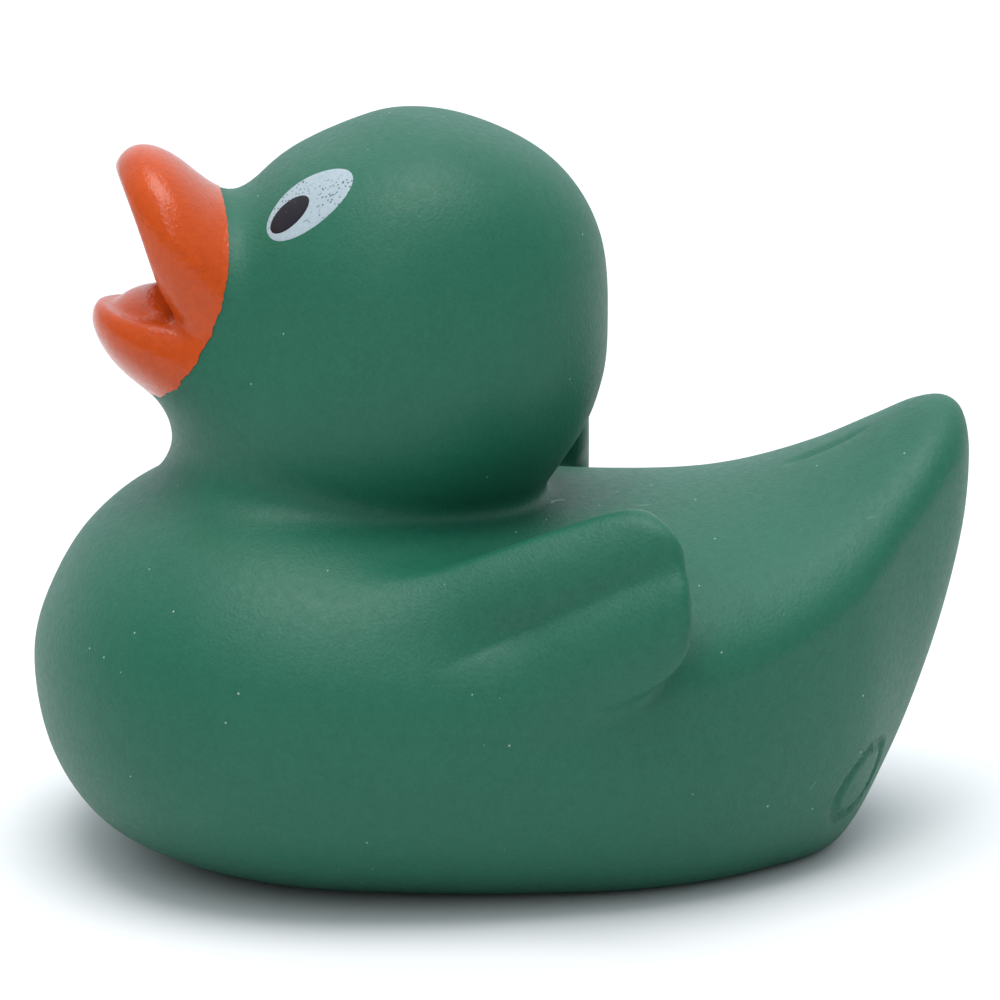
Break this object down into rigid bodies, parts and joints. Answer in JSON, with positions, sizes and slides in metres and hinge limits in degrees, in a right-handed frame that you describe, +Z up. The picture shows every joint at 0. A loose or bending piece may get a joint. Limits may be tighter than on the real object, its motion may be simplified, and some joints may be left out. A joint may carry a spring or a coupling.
{
  "type": "rubber duck bath toy",
  "caption": "Hollow soft-vinyl floating duck with a painted open bill, printed eyes, moulded wings and an upturned tail, with a reed squeaker pressed into its flat base.",
  "frame": {"origin": "on the floor under the centre of the duck's bounding box", "axes": "+Z up, the duck looks along -Y and its tail points along +Y, +X is the duck's left side"},
  "size_m": [0.0642, 0.0844, 0.0665],
  "materials": {
    "vinyl": "satin green soft vinyl with a fine moulded grain",
    "bill_coat": "semi-gloss orange paint with a slightly uneven sprayed edge",
    "eye_white": "matt pale grey print with pinholes",
    "pupil": "matt near-black print",
    "squeaker_plastic": "satin moulded ivory plastic",
    "reed_film": "smooth thin plastic film"
  },
  "bodies": {
    "body": {"body_shell": "vinyl", "bill_paint": "bill_coat", "eye_white_left": "eye_white", "pupil_left": "pupil", "eye_white_right": "eye_white", "pupil_right": "pupil", "squeaker_housing": "squeaker_plastic", "reed_block": "squeaker_plastic", "reed_clamp": "squeaker_plastic"},
    "reed": {"reed": "reed_film"}
  },
  "joints": [
    {"name": "reed_flex", "type": "hinge", "parent": "body", "child": "reed", "pos_m": [0, 0.002, 0.0042], "axis": [1, 0, 0], "range_deg": [-2.5, 6], "stiffness_Nm_per_rad": 0.0005}
  ]
}
